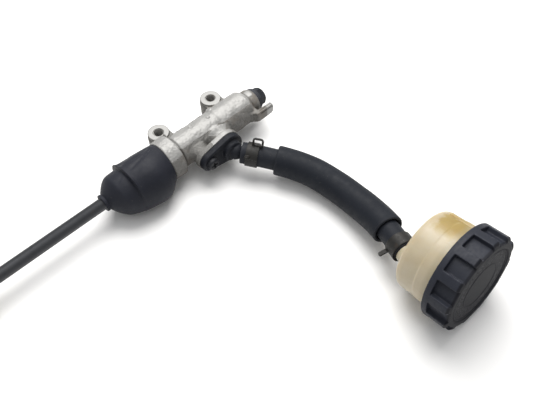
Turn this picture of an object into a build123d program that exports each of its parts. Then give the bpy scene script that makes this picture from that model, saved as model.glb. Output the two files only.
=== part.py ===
from build123d import *
import math
import os

# Rear brake master cylinder with a remote fluid reservoir, hose and push rod. Units: millimetres.
# Frame: origin midway between the two mounting hole axes, at the height of the barrel's axis.
# +X runs along the barrel to the fluid outlet, +Y from the barrel to the mounting lugs, and +Z
# along the mounting holes.

os.makedirs("parts", exist_ok=True)

# ---------------------------------------------------------------- driving dimensions

RUN_FIT = 0.05          # radial clearance of a running fit
LOOSE_FIT = 0.1         # radial clearance of a screw, a nut or a pushed-on piece

AXIS_Y = -13.6          # barrel axis, measured from the mounting hole axes
LUG_SPACING = 40.0
LUG_R = 6.35
LUG_HOLE_R = 3.0        # M6
LUG_TOP = 8.0
LUG_BOTTOM = -4.0

SPIGOT_START = -36.0    # open end of the bore, inside the boot
SPIGOT_R = 11.0
COLLAR_START = -29.1
COLLAR_END = -20.5
COLLAR_R = 12.6
BARREL_R = 10.0
FAR_START = 12.0        # stouter stretch of the barrel round the spring chamber
FAR_END = 36.0
FAR_R = 10.6
OUTLET_R = 8.3
OUTLET_FACE = 42.3
OUTLET_THREAD_R = 5.0   # M10
OUTLET_DEPTH = 10.5

TAB_START = 32.6
TAB_END = 47.6
TAB_INNER = 10.9        # distance of the ear's inner face from the barrel axis
TAB_OUTER = 13.5
TAB_LOW = -4.0
TAB_HIGH = 3.4

BORE_R = 6.35           # 12.7 mm bore
BORE_END = 28.0
MOUTH_R = 8.0           # counterbore for the stop washer and the snap ring
MOUTH_DEPTH = 4.7

SNAP_START = SPIGOT_START + 1.6
SNAP_T = 1.2
SNAP_R = 8.5

PISTON_REAR = -27.6
PISTON_NOSE = 6.6
CUP_SEAT = 2.6          # face of the piston that the primary cup leans on
SEAT_X = 6.8            # rear face of the spring's seat
SPRING_WIRE_R = 0.65
SPRING_COIL_R = 4.2
SPRING_TURNS = 7
NOSE_R = 2.4
ROD_NOSE_R = 3.2

PORT_X = 5.5            # reservoir inlet, on the side away from the lugs
SCREW_X = -9.2
PAD_FACE_Y = -30.3
FLANGE_THICK = 3.6
PORT_LOBE_R = 9.3
SCREW_LOBE_R = 6.0
PORT_HOLE_R = 3.6

SCREW_R = 2.0
SCREW_HEAD_R = 3.7
SCREW_HEAD_T = 2.6
HUB_R = 6.4
HUB_T = 3.3             # height of the hub above the flange
KNUCKLE_R = 4.8
SPIGOT_DEPTH = 6.6

ROD_R = 3.5
ROD_HEAD_X = -29.6      # front of the rod's shoulder, at rest
ROD_THREAD_R = 4.0      # M8
ROD_END = -155.0
NUT_X = -141.0
CLEVIS_START = -148.0
CLEVIS_PIN_X = -168.0
CLEVIS_W = 16.0
CLEVIS_SLOT = 8.0
CLEVIS_PIN_R = 4.0

PIN_HEAD_T = 2.0
PIN_TAIL = 4.4
COTTER_R = 0.8

# (x, radius, droop): the soft boot hangs off the barrel axis by its droop, towards -Y.
BOOT_OUTSIDE = [
    (-71.1, 5.6, 0.0), (-70.6, 6.0, 0.0), (-68.9, 6.0, 0.0), (-68.3, 5.6, 0.1), (-64.0, 10.2, 0.6),
    (-61.6, 12.0, 1.2), (-55.0, 13.1, 1.9), (-54.2, 13.8, 2.0), (-53.4, 15.0, 2.2), (-51.3, 15.3, 2.5),
    (-41.0, 15.8, 3.5), (-36.0, 14.9, 2.8), (-31.5, 13.2, 1.2), (COLLAR_START - 0.1, 12.3, 0.5),
]
BOOT_INSIDE = [
    (-72.0, ROD_R + LOOSE_FIT, 0.0), (-68.4, ROD_R + LOOSE_FIT, 0.0), (-67.4, 5.0, 0.1),
    (-63.6, 8.4, 0.8), (-61.0, 10.2, 1.2), (-54.4, 11.4, 1.9), (-51.0, 13.5, 2.5), (-41.0, 14.0, 3.5),
    (-37.2, 12.9, 2.4), (-36.6, SPIGOT_R + LOOSE_FIT, 0.0), (COLLAR_START + 1, SPIGOT_R + LOOSE_FIT, 0.0),
]

PLUG_WASHER_T = 1.3
PLUG_WASHER_R = 7.3
PLUG_FLANGE_R = 6.6
PLUG_FLANGE_T = 1.6
PLUG_HEAD_T = 4.6
PLUG_FLATS = 10.0

HOSE_R = 6.35
HOSE_BORE_R = 3.75
TAIL_R = 3.55           # hose tails of the connector and of the cup
SLEEVE_R = 8.75
SLEEVE_BORE_R = 6.9

# Corners of the hose's route, from the connector to the reservoir.
ROUTE = [
    (8.6, -39.9, -0.7), (13.7, -47.4, -1.4), (18.7, -55.1, -2.2), (23.3, -63.0, -2.8), (27.1, -71.2, -3.3),
    (29.8, -79.9, -3.9), (31.3, -88.9, -4.4), (31.8, -98.1, -4.3), (31.4, -107.2, -3.7),
    (30.4, -116.2, -2.3), (28.6, -124.9, -0.5), (26.0, -133.5, 1.4), (22.7, -141.8, 3.2),
    (19.3, -150.1, 5.0),
]
RUN_SHARE = 0.45        # share of the shorter run that each rounded corner takes

SLEEVE_FIRST = 2        # the sleeve starts on the run after this corner
SLEEVE_START_SHARE = 0.30
SLEEVE_LAST = 11        # and ends on the run after this one
SLEEVE_END_SHARE = 0.17

CLAMP_T = 0.8
CLAMP_W = 7.2
EAR_T = 1.0
LOOP_H = 6.2            # wide ear, from the middle of the band
FINGER_L = 5.2
EAR_SHIFT = 2.4         # the ear stands off towards the reservoir, the finger the other way          # narrow ear

CAP_CENTRE = (25.5, -174.3, 10.3)   # centre of the cap's rear rim
CAP_AZIMUTH = -93.1     # degrees, heading of the cap's outward axis
CAP_TILT = 10.15        # degrees, the outward axis points above the horizon
CAP_R = 26.5
CAP_T = 14.2
CUP_R = 22.4
CUP_NECK_R = 22.0
CUP_BOTTOM = -20.1      # along the cap's axis, from the cap's rear rim
CUP_TOP = 9.2
CUP_WALL = 1.7
TAIL_LENGTH = 12.0
SIDE_RIB_ANGLE = 57.0   # low rib along the cup's side, degrees from local +X
PLATE_Z = CUP_TOP + 1.1

CAP_RIBS = 12
CAP_SKIRT = 3.2         # plain ring at the rear of the cap
CAP_TOP_T = 1.6
CAP_WALL_R = 23.9       # outside of the cap's inner wall, at the foot of the pockets
RIB_HALF = 5.3          # half angle of a rib, degrees
RIB_PHASE = 16.4        # heading of the first rib's middle, degrees


# ---------------------------------------------------------------- helpers

def turned(*stations):
    """Solid of revolution about the barrel axis from (x, radius) stations."""
    first, last = stations[0][0], stations[-1][0]
    outline = [(first, 0.0), *stations, (last, 0.0)]
    face = make_face(Polyline(*[(x, AXIS_Y + r, 0.0) for x, r in outline], close=True))
    return revolve(face, Axis((0, AXIS_Y, 0), (1, 0, 0)), 360)


def rod_x(start, end, radius):
    """Cylinder on the barrel axis from x = start to x = end."""
    return turned((start, radius), (end, radius))


def rod_y(x, start, end, radius, z=0.0):
    """Cylinder along Y at the given x and z."""
    middle = (start + end) / 2
    return Pos(x, middle, z) * Rot(90, 0, 0) * Cylinder(radius, abs(end - start))


def rod_z(x, y, start, end, radius):
    """Cylinder along Z at the given x and y."""
    return Pos(x, y, (start + end) / 2) * Cylinder(radius, end - start)


def block(low, high):
    """Box between two corners."""
    size = [h - l for l, h in zip(low, high)]
    middle = [(l + h) / 2 for l, h in zip(low, high)]
    return Pos(*middle) * Box(*size)


def teardrop(start, end, inset=0.0):
    """Two-lobed plate in the XZ plane between y = start and y = end, round the port and screw."""
    port_r, screw_r = PORT_LOBE_R - inset, SCREW_LOBE_R - inset
    plane = Plane(origin=(0, start, 0), x_dir=(1, 0, 0), z_dir=(0, -1, 0))
    lobes = Pos(PORT_X, 0) * Circle(port_r) + Pos(SCREW_X, 0) * Circle(screw_r)
    # The outer tangents of the two circles touch each at the same angle off the centre line.
    spread = math.acos((port_r - screw_r) / (PORT_X - SCREW_X))
    corners = []
    for centre, radius, sign in ((PORT_X, port_r, 1), (SCREW_X, screw_r, 1),
                                 (SCREW_X, screw_r, -1), (PORT_X, port_r, -1)):
        corners.append((centre - radius * math.cos(spread), sign * radius * math.sin(spread)))
    web = make_face(Polyline(*corners, close=True))
    return extrude(plane * (lobes + web), abs(end - start))


def unit(vector):
    return Vector(*vector).normalized()


def corner_radii(points):
    """Radius at each inner point: tangent length is RUN_SHARE of the shorter run beside it."""
    radii = []
    for before, here, after in zip(points, points[1:], points[2:]):
        run_in = Vector(*here) - Vector(*before)
        run_out = Vector(*after) - Vector(*here)
        turn = math.radians(run_in.get_angle(run_out))
        shorter = min(run_in.length, run_out.length)
        radii.append(RUN_SHARE * shorter / math.tan(turn / 2))
    return radii


def tube_along(points, radii, outer_r, inner_r):
    """Hollow tube along straight runs joined by tangent arcs."""
    path = FilletPolyline(*points, radius=radii)
    start = Plane(origin=path @ 0, z_dir=path % 0)
    section = start * (Circle(outer_r) - Circle(inner_r))
    return sweep(section, path=path), path


def export(node, solid):
    export_step(solid, "parts/" + node + ".step")


# ---------------------------------------------------------------- cast body

def cylinder_body():
    casting = turned(
        (SPIGOT_START, SPIGOT_R - 0.6), (SPIGOT_START + 0.6, SPIGOT_R), (COLLAR_START, SPIGOT_R),
        (COLLAR_START, COLLAR_R - 0.4), (COLLAR_START + 0.4, COLLAR_R), (COLLAR_END - 0.4, COLLAR_R),
        (COLLAR_END + 1.0, BARREL_R), (FAR_START - 1.5, BARREL_R), (FAR_START, FAR_R),
        (FAR_END - 2.2, FAR_R), (FAR_END, FAR_R - 2.0), (FAR_END + 0.5, OUTLET_R - 0.7),
        (FAR_END + 1.2, OUTLET_R), (OUTLET_FACE - 2.2, OUTLET_R), (OUTLET_FACE, OUTLET_R - 0.9),
    )
    for side in (-1, 1):
        x = side * LUG_SPACING / 2
        casting += rod_z(x, 0, LUG_BOTTOM, LUG_TOP, LUG_R)
        casting += block((x - LUG_R, AXIS_Y, LUG_BOTTOM), (x + LUG_R, 0, LUG_TOP - 1.2))
    casting += rod_y(PORT_X, AXIS_Y, PAD_FACE_Y, PORT_LOBE_R - 0.9)
    casting += rod_y(SCREW_X, AXIS_Y - 6, PAD_FACE_Y, SCREW_LOBE_R - 0.8)
    casting += teardrop(PAD_FACE_Y + 3.4, PAD_FACE_Y, inset=-0.5)
    casting += tab()
    casting -= rod_x(SPIGOT_START - 1, BORE_END, BORE_R)
    casting -= rod_x(SPIGOT_START - 1, SPIGOT_START + MOUTH_DEPTH, MOUTH_R)
    casting -= snap_groove()
    casting -= rod_x(BORE_END - 1, OUTLET_FACE, 1.6)
    casting -= rod_x(OUTLET_FACE - OUTLET_DEPTH, OUTLET_FACE + 1, OUTLET_THREAD_R)
    casting -= rod_y(PORT_X, AXIS_Y - 8.6, PAD_FACE_Y - 1, PORT_HOLE_R)
    casting -= rod_y(PORT_X + 2.5, AXIS_Y - 5, AXIS_Y - 10, 0.4)
    casting -= rod_y(PORT_X - 2.9, AXIS_Y - 5, AXIS_Y - 10, 0.9)
    casting -= rod_y(SCREW_X, PAD_FACE_Y + 9, PAD_FACE_Y - 1, SCREW_R + LOOSE_FIT)
    for side in (-1, 1):
        casting -= rod_z(side * LUG_SPACING / 2, 0, LUG_BOTTOM - 1, LUG_TOP + 1, LUG_HOLE_R)
    return casting


def tab():
    """Ear beside the outlet that stops a hose fitting from turning."""
    ear = block((TAB_START, AXIS_Y - TAB_OUTER, TAB_LOW), (TAB_END, AXIS_Y - TAB_INNER, TAB_HIGH))
    ear = fillet(ear.edges().filter_by(Axis.Y).group_by(Axis.X)[-1], 2.0)
    ear = chamfer(ear.edges().filter_by(Axis.Z).sort_by(Axis.X)[0:1], 1.8)
    root = block((TAB_START - 1.6, AXIS_Y - TAB_INNER - 0.2, TAB_LOW),
                 (FAR_END + 0.6, AXIS_Y - 7.5, TAB_HIGH))
    return ear + root


def snap_groove():
    return rod_x(SNAP_START - RUN_FIT, SNAP_START + SNAP_T + RUN_FIT, SNAP_R + LOOSE_FIT)


# ---------------------------------------------------------------- inside the bore

def piston():
    r = BORE_R - RUN_FIT
    body = turned(
        (PISTON_REAR, r - 0.4), (PISTON_REAR + 0.4, r), (-23.4, r), (-23.4, 4.6), (-19.8, 4.6),
        (-19.8, r), (-17.6, r), (-16.8, 4.0), (0.4, 4.0), (1.0, r), (CUP_SEAT, r),
        (CUP_SEAT, NOSE_R), (PISTON_NOSE, NOSE_R),
    )
    socket = Pos(ROD_HEAD_X + 2.0, AXIS_Y, 0) * Sphere(ROD_NOSE_R + RUN_FIT)
    mouth = turned((PISTON_REAR - 1, ROD_NOSE_R + 1.0), (PISTON_REAR + 0.6, ROD_NOSE_R))
    return body - socket - mouth


def primary_cup():
    """Seal cup with its lip facing the pressure side."""
    r = BORE_R - RUN_FIT
    cup = turned((CUP_SEAT + 0.05, r - 0.5), (CUP_SEAT + 0.5, r - 0.1), (PISTON_NOSE - 0.2, r))
    hollow = turned((CUP_SEAT + 2.0, 4.2), (PISTON_NOSE, 5.3))
    return cup - hollow - rod_x(CUP_SEAT - 1, PISTON_NOSE, NOSE_R + 0.02)


def secondary_cup():
    r = BORE_R - RUN_FIT
    ring = turned((-23.3, r - 0.3), (-22.9, r), (-20.4, r - 0.1), (-19.9, r - 0.4))
    return ring - rod_x(-24, -19, 4.65)


def spring_seat():
    """Pressed washer that keeps the spring off the primary cup's lip."""
    dish = rod_x(SEAT_X, SEAT_X + 0.8, 5.2) + rod_x(SEAT_X + 0.7, SEAT_X + 2.6, 3.2)
    return dish


def return_spring():
    start, end = SEAT_X + 0.8 + SPRING_WIRE_R + 0.05, BORE_END - SPRING_WIRE_R - 0.05
    pitch = (end - start) / SPRING_TURNS
    coil = Helix(pitch, end - start, SPRING_COIL_R, center=(start, AXIS_Y, 0), direction=(1, 0, 0))
    section = Plane(origin=coil @ 0, z_dir=coil % 0) * Circle(SPRING_WIRE_R)
    return sweep(section, path=coil)


def stop_washer():
    front = SPIGOT_START + MOUTH_DEPTH - 0.1
    rear = SNAP_START + SNAP_T + 0.1
    return rod_x(rear, front, MOUTH_R - LOOSE_FIT) - rod_x(rear - 1, front + 1, ROD_THREAD_R + 0.3)


def snap_ring():
    """Inside snap ring, its two eyes at the top of the gap."""
    middle = SNAP_START + SNAP_T / 2
    ring = rod_x(SNAP_START, SNAP_START + SNAP_T, SNAP_R) - rod_x(-40, -30, 6.9)
    eyes = [Pos(middle, AXIS_Y + 6.0, side * 2.0) * Rot(0, 90, 0) for side in (-1, 1)]
    for eye in eyes:
        ring += eye * Cylinder(1.4, SNAP_T)
    for eye in eyes:
        ring -= eye * Cylinder(0.6, 6)
    return ring - block((SNAP_START - 1, AXIS_Y + 4.6, -0.9), (SNAP_START + 3, AXIS_Y + 10, 0.9))


# ---------------------------------------------------------------- push rod and clevis

def push_rod():
    """Rod with a ball nose, a shoulder held by the stop washer, and a threaded tail."""
    shaft = turned(
        (ROD_END, ROD_THREAD_R - 0.6), (ROD_END + 0.6, ROD_THREAD_R - LOOSE_FIT),
        (NUT_X + 6, ROD_THREAD_R - LOOSE_FIT), (NUT_X + 7, ROD_R), (ROD_HEAD_X - 1.4, ROD_R),
        (ROD_HEAD_X - 1.4, 5.6), (ROD_HEAD_X, 5.6), (ROD_HEAD_X, 2.9), (ROD_HEAD_X + 2.2, 2.9),
    )
    nose = Pos(ROD_HEAD_X + 2.0, AXIS_Y, 0) * Sphere(ROD_NOSE_R)
    return shaft + nose


def lock_nut():
    flats = 13.0
    hexagon = Rot(0, 90, 0) * extrude(RegularPolygon(flats / 2, 6, major_radius=False), 5.0)
    nut = Pos(NUT_X - 6, AXIS_Y, 0) * hexagon
    chamfered = turned((NUT_X - 6, 6.4), (NUT_X - 5.3, 7.4), (NUT_X - 1.7, 7.4), (NUT_X - 1, 6.4))
    return (nut & chamfered) - rod_x(NUT_X - 8, NUT_X + 1, ROD_THREAD_R)


def clevis():
    half = CLEVIS_W / 2
    fork = block((CLEVIS_PIN_X - 8, AXIS_Y - half, -half), (CLEVIS_START, AXIS_Y + half, half))
    fork = fillet(fork.edges().filter_by(Axis.Y).group_by(Axis.X)[0], half - 0.5)
    neck = turned((CLEVIS_START - 6, 12.0), (CLEVIS_START - 2.5, 10.0), (CLEVIS_START, 7.2))
    front = block((CLEVIS_START - 6, AXIS_Y - 12, -12), (CLEVIS_START, AXIS_Y + 12, 12))
    fork = (fork - front) + (fork & neck)
    slot = block((CLEVIS_PIN_X - 9, AXIS_Y - CLEVIS_SLOT / 2, -half - 1),
                 (CLEVIS_START - 9, AXIS_Y + CLEVIS_SLOT / 2, half + 1))
    fork -= slot
    fork -= rod_x(ROD_END - 1, CLEVIS_START + 1, ROD_THREAD_R)
    return fork - rod_y(CLEVIS_PIN_X, AXIS_Y - 10, AXIS_Y + 10, CLEVIS_PIN_R + RUN_FIT)


def clevis_pin():
    outer = AXIS_Y - CLEVIS_W / 2 - 0.1
    tail = AXIS_Y + CLEVIS_W / 2 + PIN_TAIL
    pin = rod_y(CLEVIS_PIN_X, outer, tail, CLEVIS_PIN_R)
    pin += rod_y(CLEVIS_PIN_X, outer - PIN_HEAD_T, outer, CLEVIS_PIN_R + 1.8)
    pin = chamfer(pin.edges().group_by(Axis.Y)[-1], 0.6)
    return pin - rod_z(CLEVIS_PIN_X, tail - 2.2, -6, 6, COTTER_R + LOOSE_FIT)


def cotter_pin():
    """Split pin through the clevis pin: a ring eye and a shank with a bent tail."""
    y = AXIS_Y + CLEVIS_W / 2 + PIN_TAIL - 2.2
    shank = rod_z(CLEVIS_PIN_X, y, -6.2, 5.4, COTTER_R)
    eye = Pos(CLEVIS_PIN_X, y, 5.4 + 1.7) * Rot(90, 0, 0) * Torus(1.7, COTTER_R)
    tail = Pos(CLEVIS_PIN_X, y, -6.2) * Rot(0, 55, 0) * Pos(0, 0, -1.6) * Cylinder(COTTER_R, 3.2)
    return shank + eye + tail


# ---------------------------------------------------------------- dust boot

def drooping(stations):
    """Solid through circles whose centres hang off the barrel axis."""
    rings = []
    for x, radius, droop in stations:
        rings.append(Plane(origin=(x, AXIS_Y - droop, 0), z_dir=(1, 0, 0)) * Circle(radius))
    return loft(rings, ruled=True)


def dust_boot():
    """Rubber boot: rod lip, cone, front part, step, stout part and a mouth over the spigot."""
    return drooping(BOOT_OUTSIDE) - drooping(BOOT_INSIDE)


# ---------------------------------------------------------------- outlet plug

def plug_washer():
    start = OUTLET_FACE + 0.05
    washer = rod_x(start, start + PLUG_WASHER_T, PLUG_WASHER_R)
    return washer - rod_x(start - 1, start + 5, OUTLET_THREAD_R + 0.1)


def outlet_plug():
    """Hexagon plug that closes the fluid outlet until a brake hose is fitted."""
    seat = OUTLET_FACE + PLUG_WASHER_T + 0.1
    thread = rod_x(seat - 9.0, seat + 0.5, OUTLET_THREAD_R - LOOSE_FIT)
    flange = turned((seat, PLUG_FLANGE_R - 0.3), (seat + 0.3, PLUG_FLANGE_R),
                    (seat + PLUG_FLANGE_T - 0.3, PLUG_FLANGE_R),
                    (seat + PLUG_FLANGE_T, PLUG_FLANGE_R - 0.4))
    head_start = seat + PLUG_FLANGE_T
    hexagon = Rot(0, 90, 0) * extrude(RegularPolygon(PLUG_FLATS / 2, 6, major_radius=False), PLUG_HEAD_T)
    head = Pos(head_start - 0.1, AXIS_Y, 0) * hexagon
    dome = turned((head_start - 1, 5.8), (head_start + PLUG_HEAD_T - 1.4, 5.8),
                  (head_start + PLUG_HEAD_T - 0.1, 4.6))
    return thread + flange + (head & dome)


# ---------------------------------------------------------------- reservoir connector

def route_start():
    """First point of the hose and the direction in which the hose leaves it."""
    return Vector(*ROUTE[0]), unit(Vector(*ROUTE[1]) - Vector(*ROUTE[0]))


def hose_connector():
    """Flanged elbow: spigot in the body, two-lobed flange, hub and hose tail with barbs."""
    face = PAD_FACE_Y - 0.05
    front = face - FLANGE_THICK
    point, heading = route_start()
    flange = teardrop(face, front)
    flange = chamfer(flange.edges().group_by(Axis.Y)[0], 0.5)
    hub = rod_y(PORT_X, front + 0.5, front - HUB_T, HUB_R)
    hub = fillet(hub.edges().group_by(Axis.Y)[0], 1.6)
    spigot = rod_y(PORT_X, face + SPIGOT_DEPTH, face - 0.5, PORT_HOLE_R - LOOSE_FIT)
    spigot -= rod_y(PORT_X, face + 5.4, face + 3.2, 4) - rod_y(PORT_X, face + 5.4, face + 3.2, 2.55)
    knuckle_y = front - HUB_T + 0.3
    bend = point + heading * ((knuckle_y - point.Y) / heading.Y)
    knuckle = Pos(*bend) * Sphere(KNUCKLE_R)
    aim = Plane(origin=point, z_dir=heading)
    tail = aim * Pos(0, 0, 2.7) * Cylinder(TAIL_R - 0.35, 14.0)
    for offset in (2.4, 5.6, 8.8):
        tail += aim * Pos(0, 0, offset) * Cone(TAIL_R, TAIL_R - 0.5, 1.6)
    waterway = aim * Pos(0, 0, 4.0) * Cylinder(2.2, 15.0)
    inlet = rod_y(PORT_X, face + SPIGOT_DEPTH + 1, knuckle_y - 1.5, 2.2)
    screw_hole = rod_y(SCREW_X, face + 1, front - 1, SCREW_R + 0.2)
    return flange + hub + spigot + knuckle + tail - waterway - inlet - screw_hole


def connector_o_ring():
    centre_y = PAD_FACE_Y - 0.05 + 4.3
    ring = Pos(PORT_X, centre_y, 0) * Rot(90, 0, 0) * Torus(3.05, 0.46)
    return ring


def connector_screw():
    """Pan head screw with a cross slot."""
    seat = PAD_FACE_Y - 0.05 - FLANGE_THICK - 0.05
    shank = rod_y(SCREW_X, seat, seat + 11.5, SCREW_R)
    head = rod_y(SCREW_X, seat, seat - SCREW_HEAD_T, SCREW_HEAD_R)
    head = fillet(head.edges().group_by(Axis.Y)[0], 1.1)
    top = seat - SCREW_HEAD_T
    for low, high in (((-2.3, -0.45), (2.3, 0.45)), ((-0.45, -2.3), (0.45, 2.3))):
        head -= block((SCREW_X + low[0], top - 1, low[1]), (SCREW_X + high[0], top + 1.3, high[1]))
    return shank + head


# ---------------------------------------------------------------- hose, sleeve and clamps

def reservoir_hose():
    radii = corner_radii(ROUTE)
    print("hose corner radii:", [round(r, 1) for r in radii])
    tube, path = tube_along(ROUTE, radii, HOSE_R, HOSE_BORE_R)
    section = math.pi * (HOSE_R ** 2 - HOSE_BORE_R ** 2)
    print("hose length", round(path.length, 1), "volume over section x length",
          round(tube.volume / (section * path.length), 4))
    return tube


def between(a, b, share):
    """Point at the given share of the way from a to b."""
    return tuple(p + (q - p) * share for p, q in zip(a, b))


def hose_sleeve():
    """Loose protective sleeve over most of the hose."""
    start, end = ROUTE[SLEEVE_FIRST], ROUTE[SLEEVE_LAST]
    start = between(start, ROUTE[SLEEVE_FIRST + 1], SLEEVE_START_SHARE)
    end = between(end, ROUTE[SLEEVE_LAST + 1], SLEEVE_END_SHARE)
    points = [start, *ROUTE[SLEEVE_FIRST + 1:SLEEVE_LAST + 1], end]
    tube, _ = tube_along(points, corner_radii(points), SLEEVE_R, SLEEVE_BORE_R)
    return tube


def spring_clamp(point, heading, lean, finger_turn):
    """Flat spring band with a wide looped ear, and a narrow finger finger_turn degrees from it."""
    place = Plane(origin=point, x_dir=lean, z_dir=heading)
    inner = HOSE_R + LOOSE_FIT
    root = inner + CLAMP_T / 2
    band = Cylinder(inner + CLAMP_T, CLAMP_W) - Cylinder(inner, CLAMP_W + 2)
    loop = Pos(root + LOOP_H / 2, 0, 0) * Box(LOOP_H, EAR_T, CLAMP_W - 0.6)
    loop = fillet(loop.edges().filter_by(Axis.Y).group_by(Axis.X)[-1], 2.0)
    loop -= Pos(root + LOOP_H / 2 + 0.1, 0, 0) * Box(LOOP_H - 2.4, 3, CLAMP_W - 3.0)
    finger = Pos(root + FINGER_L / 2, 0, 0) * Box(FINGER_L, EAR_T, 2.4)
    finger = fillet(finger.edges().filter_by(Axis.Y).group_by(Axis.X)[-1], 1.0)
    return place * (band + Pos(0, 0, EAR_SHIFT) * loop + Rot(0, 0, finger_turn) * Pos(0, 0, -EAR_SHIFT) * finger)


def clamp_on_run(index, share, lean, finger_turn):
    """Clamp on a straight stretch of the route, its wide ear leaning towards lean."""
    a, b = Vector(*ROUTE[index]), Vector(*ROUTE[index + 1])
    heading = unit(b - a)
    square = Vector(*lean) - heading * Vector(*lean).dot(heading)
    return spring_clamp(a + (b - a) * share, heading, square.normalized(), finger_turn)


# ---------------------------------------------------------------- reservoir

def cap_frame():
    """Frame on the cap's rear rim: local +Z is the cap's outward axis, local +Y is up."""
    azimuth, tilt = math.radians(CAP_AZIMUTH), math.radians(CAP_TILT)
    outward = (math.cos(azimuth) * math.cos(tilt), math.sin(azimuth) * math.cos(tilt), math.sin(tilt))
    across = (-math.sin(azimuth), math.cos(azimuth), 0)
    return Plane(origin=CAP_CENTRE, x_dir=across, z_dir=outward).location


def turned_cap(*stations):
    """Solid of revolution about the local Z axis from (radius, z) stations."""
    first, last = stations[0][1], stations[-1][1]
    outline = [(0.0, 0.0, first), *[(r, 0.0, z) for r, z in stations], (0.0, 0.0, last)]
    return revolve(make_face(Polyline(*outline, close=True)), Axis.Z, 360)


def reservoir_cup():
    """Translucent cup with a threaded neck, a flat bottom and a hose tail set at an angle."""
    frame = cap_frame()
    step = -8.0
    outside = turned_cap(
        (CUP_R - 3.6, CUP_BOTTOM), (CUP_R - 1.7, CUP_BOTTOM + 0.6), (CUP_R - 0.4, CUP_BOTTOM + 1.9),
        (CUP_R, CUP_BOTTOM + 3.7),
        (CUP_R, step - 0.2), (CUP_R + 0.3, step + 0.2), (CUP_R + 0.3, -0.3), (CUP_NECK_R, 0.0),
        (CUP_NECK_R, CUP_TOP),
    )
    inner = CUP_NECK_R - CUP_WALL
    cavity = turned_cap((inner - 2.6, CUP_BOTTOM + 1.8), (inner - 0.6, CUP_BOTTOM + 2.8),
                        (inner, CUP_BOTTOM + 4.6), (inner, CUP_TOP + 1))
    pad = Rot(0, 0, SIDE_RIB_ANGLE) * Pos(CUP_R, 0, (CUP_BOTTOM + 5) / 2) * Box(1.8, 3.0, -CUP_BOTTOM - 6)
    end = Vector(*ROUTE[-1])
    heading = unit(end - Vector(*ROUTE[-2]))
    aim = Plane(origin=end, z_dir=heading)
    tail = aim * Pos(0, 0, -TAIL_LENGTH / 2 + 5) * Cylinder(TAIL_R - 0.35, TAIL_LENGTH + 10)
    for offset in (-3.0, -6.4, -9.8):
        tail += aim * Pos(0, 0, offset) * Cone(TAIL_R - 0.5, TAIL_R, 1.6)
    root = aim * Pos(0, 0, 5.2) * Cylinder(HOSE_R - 0.6, 10.0)
    waterway = aim * Pos(0, 0, -4) * Cylinder(2.2, 40.0)
    cup = frame * (outside + pad) + tail + root
    return cup - frame * cavity - waterway


def diaphragm():
    """Rubber bellows that hangs in the fluid, with a rim clamped between cup and plate."""
    outside = turned_cap((15.6, -3.0), (17.6, -2.0), (17.6, CUP_TOP + 0.05), (21.6, CUP_TOP + 0.05),
                         (21.6, PLATE_Z - 0.05))
    hollow = turned_cap((14.6, -2.0), (16.6, -1.0), (16.6, PLATE_Z + 1))
    return cap_frame() * (outside - hollow)


def diaphragm_plate():
    plate = turned_cap((21.4, PLATE_Z), (21.4, PLATE_Z + 1.2))
    plate -= turned_cap((3, PLATE_Z - 1), (3, PLATE_Z + 3))
    rim = turned_cap((16.3, PLATE_Z - 2.5), (16.3, PLATE_Z))
    rim -= turned_cap((15.1, PLATE_Z - 4), (15.1, PLATE_Z + 1))
    return cap_frame() * (plate + rim)


def reservoir_cap():
    """Cap with deep grip pockets open at the front, and a plain ring at the rear."""
    body = turned_cap((CAP_R - 0.4, 0), (CAP_R, 0.4), (CAP_R, CAP_T - 1.4), (CAP_R - 1.0, CAP_T - 0.4),
                      (CAP_R - 3.2, CAP_T))
    body -= turned_cap((CUP_NECK_R + LOOSE_FIT, -1), (CUP_NECK_R + LOOSE_FIT, CAP_T - CAP_TOP_T))
    sweep_angle = 360.0 / CAP_RIBS - 2 * RIB_HALF
    for index in range(CAP_RIBS):
        body -= Rot(0, 0, RIB_PHASE + index * 360.0 / CAP_RIBS + RIB_HALF) * pocket(sweep_angle)
    return cap_frame() * body


def pocket(sweep_angle):
    """Pocket between two ribs: a sector between the inner wall and past the rim."""
    inner, outer = CAP_WALL_R, CAP_R + 1.0
    outline = make_face(Polyline((inner, 0, CAP_SKIRT), (outer, 0, CAP_SKIRT), (outer, 0, CAP_T + 1),
                                 (inner, 0, CAP_T + 1), close=True))
    return revolve(outline, Axis.Z, sweep_angle)


# ---------------------------------------------------------------- output

NODES = {
    "cylinder_body": cylinder_body,
    "piston": piston,
    "primary_cup": primary_cup,
    "secondary_cup": secondary_cup,
    "spring_seat": spring_seat,
    "return_spring": return_spring,
    "stop_washer": stop_washer,
    "snap_ring": snap_ring,
    "push_rod": push_rod,
    "lock_nut": lock_nut,
    "clevis": clevis,
    "clevis_pin": clevis_pin,
    "cotter_pin": cotter_pin,
    "dust_boot": dust_boot,
    "plug_washer": plug_washer,
    "outlet_plug": outlet_plug,
    "hose_connector": hose_connector,
    "connector_o_ring": connector_o_ring,
    "connector_screw": connector_screw,
    "reservoir_hose": reservoir_hose,
    "hose_sleeve": hose_sleeve,
    "clamp_at_connector": lambda: clamp_on_run(0, 0.73, (0.1, 0.1, 1), 60),
    "clamp_at_reservoir": lambda: clamp_on_run(12, 0.55, (-0.117, -0.358, -0.891), -75),
    "reservoir_cup": reservoir_cup,
    "diaphragm": diaphragm,
    "diaphragm_plate": diaphragm_plate,
    "reservoir_cap": reservoir_cap,
}

for node, make in NODES.items():
    export(node, make())
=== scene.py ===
import math

import bmesh
import bpy
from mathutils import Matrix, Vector, noise


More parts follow.
